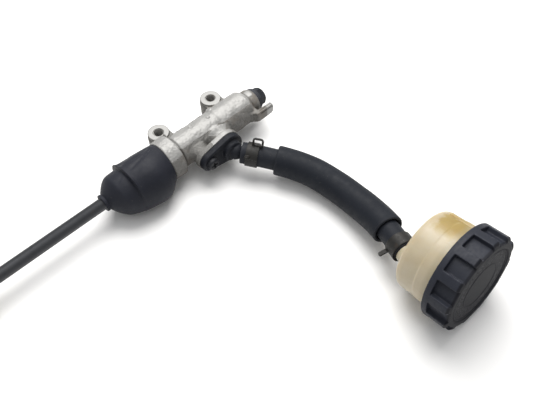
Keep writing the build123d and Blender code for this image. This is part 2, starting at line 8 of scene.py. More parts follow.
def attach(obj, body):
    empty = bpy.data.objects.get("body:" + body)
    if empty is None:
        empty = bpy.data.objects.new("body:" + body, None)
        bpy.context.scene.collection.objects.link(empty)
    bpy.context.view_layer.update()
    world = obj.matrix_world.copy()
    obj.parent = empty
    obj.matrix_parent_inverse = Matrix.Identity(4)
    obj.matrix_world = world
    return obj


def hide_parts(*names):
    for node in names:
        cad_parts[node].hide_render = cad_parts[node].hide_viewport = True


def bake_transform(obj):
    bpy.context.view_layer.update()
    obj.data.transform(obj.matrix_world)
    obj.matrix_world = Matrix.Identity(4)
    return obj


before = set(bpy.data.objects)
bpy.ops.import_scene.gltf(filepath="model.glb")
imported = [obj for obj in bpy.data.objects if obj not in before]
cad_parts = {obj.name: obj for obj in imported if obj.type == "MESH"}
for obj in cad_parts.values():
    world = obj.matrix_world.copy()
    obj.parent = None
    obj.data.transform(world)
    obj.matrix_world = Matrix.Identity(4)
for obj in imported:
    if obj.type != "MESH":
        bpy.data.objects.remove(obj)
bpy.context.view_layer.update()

MM = 0.001
AXIS_Y = -13.6          # barrel axis
FLOOR_Z = -15.85
LUG_X = 20.0            # the lugs' holes are at -LUG_X and LUG_X
LUG_TOP = 8.0
OUTLET_FACE = 42.3      # x of the outlet boss's end
INLET_X = 5.5
SCREW_X = -9.2

CAP_CENTRE = Vector((25.5, -174.3, 10.3))   # middle of the cap's rear rim
CAP_AZIMUTH = math.radians(-93.1)
CAP_TILT = math.radians(10.15)
CAP_OUTWARD = Vector((math.cos(CAP_AZIMUTH) * math.cos(CAP_TILT),
                      math.sin(CAP_AZIMUTH) * math.cos(CAP_TILT), math.sin(CAP_TILT)))
CAP_FACE = 14.2         # from CAP_CENTRE to the cap's front
CAP_FACE_START = 12.9   # what lies further out than this is part of the cap's face

# Corners of the hose's route, the same ones as in the CAD.
ROUTE = [
    (8.6, -39.9, -0.7), (13.7, -47.4, -1.4), (18.7, -55.1, -2.2), (23.3, -63.0, -2.8),
    (27.1, -71.2, -3.3), (29.8, -79.9, -3.9), (31.3, -88.9, -4.4), (31.8, -98.1, -4.3),
    (31.4, -107.2, -3.7), (30.4, -116.2, -2.3), (28.6, -124.9, -0.5), (26.0, -133.5, 1.4),
    (22.7, -141.8, 3.2), (19.3, -150.1, 5.0),
]
HOSE_R = 6.35
SLEEVE_R = 8.75
SLEEVE_BORE_R = 6.9
SLEEVE_START = 21.0     # along the hose from the connector
SLEEVE_END = 102.0


# ---------------------------------------------------------------- camera, light and floor

camera = bpy.data.objects.new("camera", bpy.data.cameras.new("camera"))
camera.data.lens = 36.0
camera.data.sensor_width = 36.0
camera.data.clip_start = 0.01
camera.location = (-0.1260, -0.2025, 0.2459)
camera.rotation_euler = Vector((0.4033, 0.4045, -0.8208)).to_track_quat("-Z", "Y").to_euler()
bpy.context.collection.objects.link(camera)
bpy.context.scene.camera = camera
bpy.context.scene.view_settings.view_transform = "Standard"


def area_light(name, place, aim, width, power, colour=(1, 1, 1)):
    lamp = bpy.data.lights.new(name, "AREA")
    lamp.shape = "DISK"
    lamp.size = width
    lamp.energy = power
    lamp.color = colour
    obj = bpy.data.objects.new(name, lamp)
    obj.location = place
    obj.rotation_euler = (Vector(aim) - Vector(place)).to_track_quat("-Z", "Y").to_euler()
    bpy.context.collection.objects.link(obj)


area_light("key", (0.24, 0.20, 0.68), (0.0, -0.08, 0.0), 0.72, 8.6, (1.0, 0.985, 0.965))
area_light("top", (-0.15, -0.06, 0.75), (0.0, -0.08, 0.0), 0.8, 1.6)

world = bpy.data.worlds.new("studio")
world.use_nodes = True
world.node_tree.nodes["Background"].inputs["Color"].default_value = (1.0, 1.0, 1.0, 1)
world.node_tree.nodes["Background"].inputs["Strength"].default_value = 0.40
bpy.context.scene.world = world


# ---------------------------------------------------------------- materials

class Shader:
    """Builds one node material from short calls."""

    def __init__(self, name, roughness, metallic=0.0, **settings):
        self.material = bpy.data.materials.new(name)
        self.material.use_nodes = True
        self.tree = self.material.node_tree
        self.surface = self.tree.nodes["Principled BSDF"]
        self.surface.inputs["Roughness"].default_value = roughness
        self.surface.inputs["Metallic"].default_value = metallic
        for socket, value in settings.items():
            self.surface.inputs[socket.replace("_", " ")].default_value = value
        self.place = self.node("ShaderNodeTexCoord").outputs["Object"]

    def node(self, kind, **settings):
        made = self.tree.nodes.new(kind)
        for key, value in settings.items():
            setattr(made, key, value)
        return made

    def put(self, value, socket):
        """Links an output, or sets a plain value, on an input socket."""
        if isinstance(value, bpy.types.NodeSocket):
            self.tree.links.new(value, socket)
        else:
            socket.default_value = value

    def math(self, operation, a, b):
        made = self.node("ShaderNodeMath", operation=operation)
        self.put(a, made.inputs[0])
        self.put(b, made.inputs[1])
        return made.outputs[0]

    def times(self, a, b):
        return self.math("MULTIPLY", a, b)

    def noise(self, size_mm, detail=3.0, rough=0.55, stretch=None):
        made = self.node("ShaderNodeTexNoise")
        made.inputs["Scale"].default_value = 1.0 / (size_mm * MM)
        made.inputs["Detail"].default_value = detail
        made.inputs["Roughness"].default_value = rough
        self.tree.links.new(self.stretched(stretch), made.inputs["Vector"])
        return made.outputs["Fac"]

    def stretched(self, stretch):
        if stretch is None:
            return self.place
        mapping = self.node("ShaderNodeMapping")
        mapping.inputs["Scale"].default_value = stretch
        self.tree.links.new(self.place, mapping.inputs["Vector"])
        return mapping.outputs["Vector"]

    def cells(self, size_mm):
        made = self.node("ShaderNodeTexVoronoi")
        made.inputs["Scale"].default_value = 1.0 / (size_mm * MM)
        self.tree.links.new(self.place, made.inputs["Vector"])
        return made.outputs["Distance"]

    def step(self, value, zero_at, one_at):
        """0 where value is zero_at, 1 where it is one_at, straight between and level beyond."""
        made = self.node("ShaderNodeMapRange")
        self.put(value, made.inputs["Value"])
        made.inputs["From Min"].default_value = zero_at
        made.inputs["From Max"].default_value = one_at
        return made.outputs["Result"]

    def mix(self, fac, a, b):
        """Colour a where fac is 0 and colour b where it is 1."""
        made = self.node("ShaderNodeMix", data_type="RGBA")
        self.put(fac, made.inputs[0])
        self.put(a, made.inputs[6])
        self.put(b, made.inputs[7])
        return made.outputs[2]

    def along(self, origin, direction):
        """Distance in mm of the surface from origin, measured along direction."""
        offset = self.node("ShaderNodeVectorMath", operation="SUBTRACT")
        self.tree.links.new(self.place, offset.inputs[0])
        offset.inputs[1].default_value = [v * MM for v in origin]
        dot = self.node("ShaderNodeVectorMath", operation="DOT_PRODUCT")
        self.tree.links.new(offset.outputs[0], dot.inputs[0])
        dot.inputs[1].default_value = direction
        return self.times(dot.outputs["Value"], 1.0 / MM)

    def distance(self, origin):
        """Distance in mm of the surface from origin."""
        made = self.node("ShaderNodeVectorMath", operation="DISTANCE")
        self.tree.links.new(self.place, made.inputs[0])
        made.inputs[1].default_value = [v * MM for v in origin]
        return self.times(made.outputs["Value"], 1.0 / MM)

    def worn_edges(self, low=0.52, high=0.6):
        """1 on sharp outside edges, where the surface rubs."""
        geometry = self.node("ShaderNodeNewGeometry")
        return self.step(geometry.outputs["Pointiness"], low, high)

    def bump(self, *heights):
        """One bump from pairs of a height output and its depth in mm."""
        total = None
        for value, depth in heights:
            part = self.times(value, depth * MM)
            total = part if total is None else self.math("ADD", total, part)
        made = self.node("ShaderNodeBump")
        made.inputs["Distance"].default_value = 1.0
        self.put(total, made.inputs["Height"])
        self.tree.links.new(made.outputs["Normal"], self.surface.inputs["Normal"])

    def colour(self, value):
        self.put(value, self.surface.inputs["Base Color"])

    def roughness(self, value, low, high):
        """Roughness from low to high as value goes from 0.3 to 0.7."""
        made = self.node("ShaderNodeMapRange")
        self.put(value, made.inputs["Value"])
        made.inputs["From Min"].default_value = 0.3
        made.inputs["From Max"].default_value = 0.7
        made.inputs["To Min"].default_value = low
        made.inputs["To Max"].default_value = high
        self.tree.links.new(made.outputs["Result"], self.surface.inputs["Roughness"])


def cast_aluminium():
    """Grainy, pitted casting with stains, painted shade in its corners and cleaner machined faces."""
    look = Shader("cast_aluminium", 0.5, 0.35, Specular_IOR_Level=0.35)
    cloud = look.noise(9.0, 5.0)
    grain = look.noise(0.55, 3.0)
    pits = look.cells(1.6)
    stain = look.step(look.noise(14.0, 6.0, 0.65), 0.53, 0.72)
    base = look.mix(cloud, (0.165, 0.162, 0.155, 1), (0.235, 0.231, 0.22, 1))
    base = look.mix(look.times(stain, 0.55), base, (0.17, 0.125, 0.08, 1))
    # painted shade: ambient occlusion darkens the corners and hollows of the casting
    painted_corner_shade = look.step(look.node("ShaderNodeAmbientOcclusion", samples=4).outputs["AO"], 0.55, 0.15)
    base = look.mix(look.times(painted_corner_shade, 0.6), base, (0.055, 0.045, 0.035, 1))
    lug_tops = look.step(look.along((0, 0, LUG_TOP - 0.15), (0, 0, 1)), 0.0, 0.1)
    outlet_face = look.step(look.along((OUTLET_FACE - 0.1, 0, 0), (1, 0, 0)), 0.0, 0.1)
    cut = look.math("MAXIMUM", lug_tops, outlet_face)
    base = look.mix(cut, base, (0.31, 0.308, 0.30, 1))
    look.colour(look.mix(look.times(look.worn_edges(0.54, 0.64), 0.5), base, (0.42, 0.415, 0.40, 1)))
    look.roughness(look.math("ADD", grain, look.times(cut, -0.4)), 0.50, 0.74)
    rough = look.math("SUBTRACT", 1.0, cut)
    look.bump((look.times(grain, rough), 0.30), (look.times(pits, rough), 0.08),
              (look.times(look.noise(2.2, 4.0, 0.6), rough), 0.5))
    return look.material


def metal(name, colour, tint, roughness, metallic, rust):
    """Steel or aluminium with fine turning marks, blotches and bright worn edges."""
    look = Shader(name, roughness, metallic, Specular_IOR_Level=0.3)
    cloud = look.noise(5.0, 5.0)
    base = look.mix(cloud, (*colour, 1), (*tint, 1))
    if rust:
        spots = look.step(look.noise(3.5, 6.0, 0.7), 0.6, 0.75)
        base = look.mix(look.times(spots, rust), base, (0.22, 0.10, 0.045, 1))
    bright = tuple(min(1.0, c * 1.6 + 0.1) for c in colour)
    look.colour(look.mix(look.times(look.worn_edges(0.53, 0.62), 0.6), base, (*bright, 1)))
    look.roughness(look.noise(1.2, 4.0), roughness - 0.08, roughness + 0.12)
    look.bump((look.noise(0.4, 2.0, stretch=(4.0, 0.6, 0.6)), 0.02), (look.noise(2.5), 0.03))
    return look.material


def rubber(name, colour, dust, roughness):
    """Black rubber: fine mould grain, a grey bloom and paler edges."""
    look = Shader(name, roughness, Specular_IOR_Level=0.2)
    bloom = look.step(look.noise(16.0, 5.0, 0.6), 0.35, 0.8)
    specks = look.step(look.noise(1.2, 4.0, 0.6), 0.66, 0.74)
    base = look.mix(look.times(bloom, 0.7), (*colour, 1), (*dust, 1))
    base = look.mix(look.times(specks, 0.12), base, (0.30, 0.28, 0.25, 1))
    look.colour(look.mix(look.times(look.worn_edges(), 0.35), base, (0.040, 0.042, 0.048, 1)))
    look.roughness(look.noise(4.0, 4.0), roughness - 0.08, roughness + 0.1)
    look.bump((look.noise(0.3, 2.0), 0.05), (look.noise(6.0, 3.0), 0.15))
    return look.material


def plastic(name, colour, tint, roughness, wear):
    """Moulded plastic with fine texture, scuffs and paler edges."""
    look = Shader(name, roughness, Specular_IOR_Level=0.22)
    scuffs = look.step(look.noise(2.0, 6.0, 0.7, stretch=(1.0, 3.0, 1.5)), 0.58, 0.78)
    base = look.mix(look.noise(12.0, 4.0), (*colour, 1), (*tint, 1))
    base = look.mix(look.times(scuffs, 0.18), base, (0.22, 0.23, 0.25, 1))
    look.colour(look.mix(look.times(look.worn_edges(), wear), base, (0.26, 0.27, 0.30, 1)))
    look.roughness(look.noise(1.5, 4.0), roughness - 0.08, roughness + 0.14)
    look.bump((look.noise(0.35, 2.0), 0.03), (look.noise(4.0), 0.06))
    return look.material


def aged_nylon():
    """Translucent nylon with an amber stain by the cap on its +X side, a rim line and streaks."""
    look = Shader("aged_nylon", 0.38, Subsurface_Weight=0.55, Subsurface_Scale=0.006,
                  Transmission_Weight=0.12)
    look.surface.inputs["Subsurface Radius"].default_value = (1.0, 0.75, 0.45)
    cloud = look.noise(6.0, 5.0, 0.6)
    to_cap = look.along(CAP_CENTRE, CAP_OUTWARD)
    to_side = look.along(CAP_CENTRE, (0.89, 0.03, 0.45))
    stained_side = look.step(look.math("ADD", to_side, look.times(look.noise(5.0, 4.0), 5.0)), 8.5, 12.5)
    near_cap = look.step(look.math("ADD", to_cap, look.times(cloud, 14.0)), -9.5, -6.5)
    amber = look.times(look.times(stained_side, near_cap), 0.95)
    rim = look.step(to_cap, -4.4, -2.6)
    base = look.mix(look.noise(5.0, 4.0), (0.52, 0.46, 0.34, 1), (0.46, 0.385, 0.25, 1))
    tint = look.mix(cloud, (0.31, 0.205, 0.04, 1), (0.40, 0.30, 0.11, 1))
    base = look.mix(look.times(stained_side, 0.3), base, (0.40, 0.31, 0.15, 1))
    base = look.mix(amber, base, tint)
    base = look.mix(look.times(rim, 0.4), base, (0.33, 0.29, 0.20, 1))
    streak = look.step(look.noise(3.0, 5.0, 0.6, stretch=(1.0, 0.2, 1.0)), 0.6, 0.75)
    look.colour(look.mix(look.times(streak, 0.25), base, (0.28, 0.17, 0.07, 1)))
    look.roughness(look.noise(3.0, 4.0), 0.3, 0.48)
    look.bump((look.noise(1.0, 3.0), 0.05), (look.noise(7.0), 0.1))
    return look.material


def cap_plastic():
    """Black cap: worn rib corners, and a coarse mottled band on its rougher front face, darkened as painted
    shade.
    """
    look = Shader("cap_plastic", 0.5, Specular_IOR_Level=0.2)
    depth = look.along(CAP_CENTRE, CAP_OUTWARD)
    radius = look.distance(CAP_CENTRE + CAP_OUTWARD * CAP_FACE)
    band = look.times(look.step(radius, 13.0, 13.6), look.step(radius, 19.2, 18.6))
    band = look.times(band, look.step(depth, CAP_FACE_START, 13.2))
    dull_shaded_front = look.step(depth, 12.6, 13.2)
    mottle = look.times(band, look.step(look.noise(1.3, 3.0, 0.6), 0.47, 0.58))
    scuffs = look.step(look.noise(2.4, 6.0, 0.7), 0.58, 0.8)
    base = look.mix(look.noise(10.0, 4.0), (0.015, 0.017, 0.024, 1), (0.026, 0.029, 0.040, 1))
    # painted shade: the front face is darkened for the shade on the side turned away from the key light
    base = look.mix(look.times(dull_shaded_front, 0.7), base, (0.005, 0.005, 0.007, 1))
    base = look.mix(look.times(mottle, 0.7), base, (0.045, 0.046, 0.052, 1))
    base = look.mix(look.times(scuffs, 0.2), base, (0.045, 0.05, 0.065, 1))
    look.colour(look.mix(look.times(look.worn_edges(), 0.4), base, (0.12, 0.125, 0.15, 1)))
    look.roughness(look.math("ADD", look.noise(1.5, 4.0), look.times(dull_shaded_front, 0.4)), 0.42, 0.66)
    look.bump((mottle, 0.22), (look.noise(0.4, 2.0), 0.03), (look.noise(3.0), 0.05))
    return look.material


# Colour, second colour, roughness, metallic share and amount of rust.
METALS = {
    "anodised_aluminium": ((0.42, 0.34, 0.20), (0.50, 0.42, 0.28), 0.32, 1.0, 0.0),
    "plain_steel": ((0.46, 0.45, 0.43), (0.55, 0.54, 0.52), 0.34, 1.0, 0.2),
    "zinc_steel": ((0.24, 0.215, 0.15), (0.30, 0.285, 0.24), 0.42, 0.8, 0.35),
    "black_steel": ((0.032, 0.034, 0.038), (0.05, 0.052, 0.057), 0.36, 0.3, 0.1),
    # painted shade: colour of the lugs' tapped-hole linings, set for the shade inside the holes
    "oiled_thread": ((0.26, 0.253, 0.24), (0.36, 0.352, 0.335), 0.5, 0.3, 0.0),
    "dull_black_steel": ((0.010, 0.011, 0.014), (0.02, 0.021, 0.026), 0.5, 0.2, 0.0),
    "clamp_steel": ((0.012, 0.012, 0.012), (0.026, 0.025, 0.023), 0.5, 0.2, 0.12),
}
# Colour, colour of its dust, and roughness.
RUBBERS = {
    "seal_rubber": ((0.012, 0.012, 0.012), (0.03, 0.03, 0.03), 0.45),
    "boot_rubber": ((0.012, 0.0135, 0.020), (0.023, 0.025, 0.034), 0.56),
    "hose_rubber": ((0.010, 0.012, 0.017), (0.018, 0.021, 0.028), 0.6),
    "sleeve_rubber": ((0.007, 0.009, 0.014), (0.014, 0.017, 0.023), 0.62),
}
# Colour, second colour, roughness and wear of the edges.
PLASTICS = {
    "black_plastic": ((0.006, 0.007, 0.011), (0.010, 0.012, 0.017), 0.6, 0.12),
    "white_plastic": ((0.70, 0.69, 0.64), (0.62, 0.60, 0.54), 0.45, 0.1),
}
MATERIALS = {
    "cast_aluminium": cast_aluminium(), "aged_nylon": aged_nylon(), "cap_plastic": cap_plastic(),
}
for make, table in ((metal, METALS), (rubber, RUBBERS), (plastic, PLASTICS)):
    for slot_name, looks in table.items():
        MATERIALS[slot_name] = make(slot_name, *looks)


# ---------------------------------------------------------------- mesh helpers

def new_object(name, mesh, slot, body, nodes=()):
    """Links a mesh as a piece that rides on a body and stands for some CAD nodes."""
    obj = bpy.data.objects.new(name, mesh)
    bpy.context.collection.objects.link(obj)
    finish_piece(obj, slot, body, nodes)
    return obj


def finish_piece(obj, slot, body, nodes=()):
    """Gives a piece its material, hides the CAD nodes it stands for and hangs it on the empty of its body.
    """
    obj.data.materials.clear()
    obj.data.materials.append(MATERIALS[slot])
    if nodes:
        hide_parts(*nodes)
    if body:
        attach(obj, body)


def mesh_from(name, points, faces):
    """Smooth-shaded mesh from points in mm."""
    mesh = bpy.data.meshes.new(name)
    mesh.from_pydata([tuple(Vector(p) * MM) for p in points], [], faces)
    work = bmesh.new()
    work.from_mesh(mesh)
    bmesh.ops.remove_doubles(work, verts=work.verts, dist=1e-6)
    bmesh.ops.recalc_face_normals(work, faces=work.faces)
    work.to_mesh(mesh)
    work.free()
    mesh.shade_smooth()
    return mesh


def tube_faces(rows, around, closed):
    """Faces of a tube of points, row after row; closed joins the last row to the first."""
    faces = []
    for row in range(rows if closed else rows - 1):
        a, b = row * around, (row + 1) % rows * around
        for index in range(around):
            after = (index + 1) % around
            faces.append((a + index, a + after, b + after, b + index))
    return faces


def lathe(profile, origin, axis, side, segments, shape=None, loop=False):
    """Points and faces of a solid turned about an axis. profile holds (distance, radius) pairs, and
    shape(row, distance, radius, angle) may return another (distance, radius, sideways offset)."""
    axis, side = Vector(axis).normalized(), Vector(side)
    side = (side - axis * side.dot(axis)).normalized()
    other = axis.cross(side)
    points = []
    for row, (distance, radius) in enumerate(profile):
        for index in range(segments):
            angle = 2 * math.pi * index / segments
            d, r, offset = distance, radius, Vector()
            if shape:
                d, r, offset = shape(row, distance, radius, angle)
            points.append(Vector(origin) + axis * d + side * (r * math.cos(angle))
                          + other * (r * math.sin(angle)) + offset)
    return points, tube_faces(len(profile), segments, loop)


def refined(name, node, slot, body, voxel, smooth, extras=(), soft=None, carve=None):
    """Copy of a CAD node with extra solids merged in, remeshed by voxels in mm and smoothed so many
    times. soft(place in mm) is how much of the smoothing a spot gets, and carve(place in mm) returns
    where that spot ends up."""
    work = bmesh.new()
    work.from_mesh(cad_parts[node].data)
    for points, faces in extras:
        extra = mesh_from("extra", points, faces)
        work.from_mesh(extra)
        bpy.data.meshes.remove(extra)
    mesh = bpy.data.meshes.new(name)
    work.to_mesh(mesh)
    work.free()
    rough = bpy.data.objects.new(name + "_rough", mesh)
    bpy.context.collection.objects.link(rough)
    remesh = rough.modifiers.new("remesh", "REMESH")
    remesh.mode = "VOXEL"
    remesh.voxel_size = voxel * MM
    even = applied(rough, name + "_even")
    rough.modifiers.clear()
    rough.data = even
    soften = rough.modifiers.new("soften", "SMOOTH")
    soften.factor = 0.5
    soften.iterations = smooth
    if soft:
        group = rough.vertex_groups.new(name="soft")
        for vertex in even.vertices:
            group.add((vertex.index,), soft(vertex.co / MM), "REPLACE")
        soften.vertex_group = "soft"
    result = applied(rough, name)
    bpy.data.objects.remove(rough)
    bpy.data.meshes.remove(mesh)
    bpy.data.meshes.remove(even)
    if carve:
        for vertex in result.vertices:
            vertex.co = carve(vertex.co / MM) * MM
    result.shade_smooth()
    return new_object(name, result, slot, body, (node,))


def applied(obj, name):
    """The object's mesh with its modifiers applied."""
    graph = bpy.context.evaluated_depsgraph_get()
    mesh = bpy.data.meshes.new_from_object(obj.evaluated_get(graph), depsgraph=graph)
    mesh.name = name
    return mesh


def blended(stations, per_gap):
    """More stations between the given ones, on a smooth curve through them."""
    result = []
    count = len(stations)
    for i in range(count - 1):
        p0, p1 = Vector(stations[max(i - 1, 0)]), Vector(stations[i])
        p2, p3 = Vector(stations[i + 1]), Vector(stations[min(i + 2, count - 1)])
        for k in range(per_gap):
            t = k / per_gap
            straight = p1.lerp(p2, t)
            curved = 0.5 * (2 * p1 + (p2 - p0) * t + (2 * p0 - 5 * p1 + 4 * p2 - p3) * t * t
                            + (3 * p1 - p0 - 3 * p2 + p3) * t ** 3)
            result.append(straight.lerp(curved, 0.55))
    result.append(Vector(stations[-1]))
    return result


def bevel_node(node, width):
    """Rounds the edges of a CAD node that stays in view."""
    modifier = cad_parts[node].modifiers.new("edges", "BEVEL")
    modifier.width = width * MM
    modifier.segments = 2
    modifier.limit_method = "ANGLE"
    modifier.angle_limit = math.radians(35)


def held(share):
    """A share kept between 0 and 1."""
    return min(1.0, max(0.0, share))


def ridge(position, middle, width, height):
    """Height of a soft ridge, or the depth of a soft groove, at a position across it."""
    return height * math.exp(-((position - middle) / width) ** 2)


# ---------------------------------------------------------------- hose

def make_hose():
    """The hose as a curve through its route, and the points of its centreline in mm."""
    curve = bpy.data.curves.new("hose", "CURVE")
    curve.dimensions = "3D"
    curve.resolution_u = 16
    spline = curve.splines.new("NURBS")
    spline.points.add(len(ROUTE) - 1)
    for point, place in zip(spline.points, ROUTE):
        point.co = (*(v * MM for v in place), 1.0)
    spline.order_u = 3
    spline.use_endpoint_u = True
    obj = bpy.data.objects.new("hose", curve)
    bpy.context.collection.objects.link(obj)
    line = [v.co.copy() / MM for v in applied(obj, "hose_line").vertices]
    curve.bevel_depth = HOSE_R * MM
    curve.bevel_resolution = 12
    curve.use_fill_caps = True
    return obj, line


hose, hose_line = make_hose()


def on_hose(distance):
    """(point, direction) at a distance in mm along the hose's line."""
    travelled = 0.0
    for a, b in zip(hose_line, hose_line[1:]):
        step = (b - a).length
        if travelled + step >= distance:
            return a.lerp(b, (distance - travelled) / step), (b - a).normalized()
        travelled += step
    return hose_line[-1], (hose_line[-1] - hose_line[-2]).normalized()


def make_sleeve():
    """Loose sleeve: an open tube with a real wall, a slightly oval section and rounded lips."""
    steps, around = 120, 72
    lip = SLEEVE_R - SLEEVE_BORE_R
    lip_out, lip_in = SLEEVE_R - lip * 0.25, SLEEVE_BORE_R + lip * 0.35
    rings = [(0.0, lip_in), (0.0, lip_out)]
    rings += [(t / steps, SLEEVE_R) for t in range(1, steps)]
    rings += [(1.0, lip_out), (1.0, lip_in)]
    rings += [(t / steps, SLEEVE_BORE_R) for t in range(steps - 1, 0, -1)]
    points = []
    for share, radius in rings:
        centre, direction = on_hose(SLEEVE_START + (SLEEVE_END - SLEEVE_START) * share)
        side = Vector((0, 0, 1)) - direction * direction.z
        side.normalize()
        other = direction.cross(side)
        for index in range(around):
            angle = 2 * math.pi * index / around
            oval = 1.0 + 0.012 * math.cos(2 * angle + 3 * share)
            lump = 0.10 * noise.noise(centre * 0.09 + Vector((math.cos(angle), math.sin(angle), 0)))
            r = radius * oval + lump
            points.append(centre + side * (r * math.cos(angle)) + other * (r * math.sin(angle)))
    mesh = mesh_from("sleeve", points, tube_faces(len(rings), around, True))
    return new_object("sleeve", mesh, "sleeve_rubber", None, ("hose_sleeve",))


sleeve = make_sleeve()
clamps = [refined(f"clamp_{end}_end", f"clamp_at_{end}", "clamp_steel", None, voxel=0.16, smooth=3)
          for end in ("connector", "reservoir")]
finish_piece(hose, "hose_rubber", "cylinder", ("reservoir_hose",))
for piece in (sleeve, *clamps):
    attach(piece, "cylinder")


# ---------------------------------------------------------------- cast body

# Round marks of the mould's pins: x, angle round the barrel in degrees, and radius.
MOULD_MARKS = [(-5.0, 78, 1.3), (12.5, 55, 2.0), (7.2, 86, 0.9)]
# Grooves round the barrel's outside: x, width, depth, and the radius beyond which nothing is cut.
BARREL_GROOVES = [(-19.4, 0.6, 1.3, 13.5), (36.9, 0.5, 0.8, 11.0), (-25.2, 0.3, 0.12, 13.5)]
BORE_CLEAR_R = 7.4      # the bore's wall and everything inside it
BORE_LIMIT_X = 31.0     # a little past the bore's end
BORE_EASE = 0.08        # how far the bore's wall moves out, so that the piston's cups clear it


def raised_marks(place):
    """Lifts the mould's pin marks, each a low disc with a dished middle."""
    slope, lift, dish = 0.3, 0.6, 0.3
    for x, angle, radius in MOULD_MARKS:
        lean = Vector((0, math.cos(math.radians(angle)), math.sin(math.radians(angle))))
        offset = place - Vector((x, AXIS_Y, 0))
        height = offset.dot(lean)
        across = (offset - lean * height).length
        if height > 8.0 and across < radius + slope:
            dished = dish * held((radius - 0.4 - across) / slope)
            return place + lean * (lift * held((radius + slope - across) / slope) - dished)
    return place


def casting_extras():
    """Fillet cones at the bosses' roots, the lugs' discs and the collar's ring, all with holes."""
    extras = []
    for x, radius, flare, hole in ((INLET_X, 8.4, 2.2, 3.8), (SCREW_X, 5.2, 1.6, 2.3)):
        cone = [(0.0, hole), (0.0, radius + flare), (2.6, radius + flare * 0.35),
                (5.5, radius - 0.2), (5.5, hole)]
        extras.append(lathe(cone, (x, AXIS_Y - 8.4, 0), (0, -1, 0), (1, 0, 0), 64, loop=True))
    disc = [(-4.0, 3.4), (-4.0, 6.35), (-3.6, 6.7), (5.6, 6.7), (6.3, 6.2), (6.3, 3.4)]
    for x in (-LUG_X, LUG_X):
        extras.append(lathe(disc, (x, 0, 0), (0, 0, 1), (1, 0, 0), 64, loop=True))
    ring = [(-20.6, 9.6), (-20.4, 11.2), (-19.9, 11.2), (-19.6, 9.6)]
    extras.append(lathe(ring, (0, AXIS_Y, 0), (1, 0, 0), (0, 0, 1), 96, loop=True))
    return extras


def thread_tube(radius, depth, pitch, start, end, origin):
    """Lining of an upright tapped hole: a tube whose inside carries a thread."""
    wall = 0.5
    rows = int((end - start) / pitch * 8)
    profile = [(start + (end - start) * i / rows, radius) for i in range(rows + 1)]
    profile += [(end, radius + wall), (start, radius + wall)]

    def shape(row, distance, r, angle):
        if r > radius:
            return distance, r, Vector()
        phase = (distance / pitch + angle / (2 * math.pi)) % 1.0
        return distance, r - depth * abs(1 - 2 * phase), Vector()

    return lathe(profile, origin, (0, 0, 1), (1, 0, 0), 64, shape, loop=True)


def cast_softness(place):
    """Less rounding on machined spots: the bore, the seats of the boot and the connector, the
    outlet and the lugs' tops."""
    in_bore = math.hypot(place.y - AXIS_Y, place.z) < BORE_CLEAR_R
    machined = place.x < -28.6 or place.x > 35.4 or place.y < -29.0
    on_lug = place.y > -7.0 and abs(abs(place.x) - LUG_X) < 8 and place.z > 5.5
    if in_bore:
        return 0.0
    return 0.12 if machined or on_lug else 1.0


def radially(place, change):
    """The place moved away from the barrel's axis by change, in mm."""
    spot = Vector((place.y - AXIS_Y, place.z))
    spot *= (spot.length + change) / spot.length
    return Vector((place.x, spot.x + AXIS_Y, spot.y))


def barrel_grooves(place):
    """Opens the bore by a hair, and cuts the grooves round the barrel except underneath."""
    radius = math.hypot(place.y - AXIS_Y, place.z)
    if 0.1 < radius < BORE_CLEAR_R and place.x < BORE_LIMIT_X:
        return radially(place, BORE_EASE)
    if radius < 9.0 or place.z < -6:
        return place
    deep = 0.0
    for x, width, depth, limit in BARREL_GROOVES:
        if radius < limit:
            deep += ridge(place.x, x, width, depth)
    return radially(place, -deep)


def lug_grooves(place):
    """Undercuts the discs on top of the lugs."""
    for x in (-LUG_X, LUG_X):
        out = Vector((place.x - x, place.y))
        if 5.6 < out.length < 8.5 and place.z > 2:
            out *= (out.length - ridge(place.z, 5.6, 0.4, 0.5)) / out.length
            return Vector((x + out.x, out.y, place.z))
    return place


def ear_grooves(place):
    """A groove along the top of the ear, and one along its outer side."""
    if place.x > 36.5 and place.y < -24.3 and place.z > 2.6:
        place = place - Vector((0, 0, ridge(place.y, -25.9, 0.35, 0.7)))
    if place.x > 37.0 and place.y < -26.3:
        place = place + Vector((0, ridge(place.z, 1.7, 0.45, 0.9), 0))
    return place


def cast_carving(place):
    """Grooves, cast unevenness and the mould's marks."""
    place = lug_grooves(barrel_grooves(place))
    uneven = 0.35 * noise.noise(place * 0.22) + 0.14 * noise.noise(place * 0.8)
    spoke = Vector((0, place.y - AXIS_Y, place.z)).normalized()
    place = place + spoke * (uneven * cast_softness(place))
    return raised_marks(ear_grooves(place))


refined("casting", "cylinder_body", "cast_aluminium", "cylinder", voxel=0.30, smooth=26,
        extras=casting_extras(), soft=cast_softness, carve=cast_carving)
for number, x in enumerate((-LUG_X, LUG_X), 1):
    tube = thread_tube(radius=3.05, depth=0.45, pitch=1.0, start=-3.8, end=7.6, origin=(x, 0, 0))
    mesh = mesh_from("lug_thread", *tube)
    lining = new_object(f"lug_thread_{number}", mesh, "cast_aluminium", "cylinder")
    # painted shade: the lining's own material stands in for the shade inside the hole
    lining.data.materials[0] = MATERIALS["oiled_thread"]


# ---------------------------------------------------------------- boot

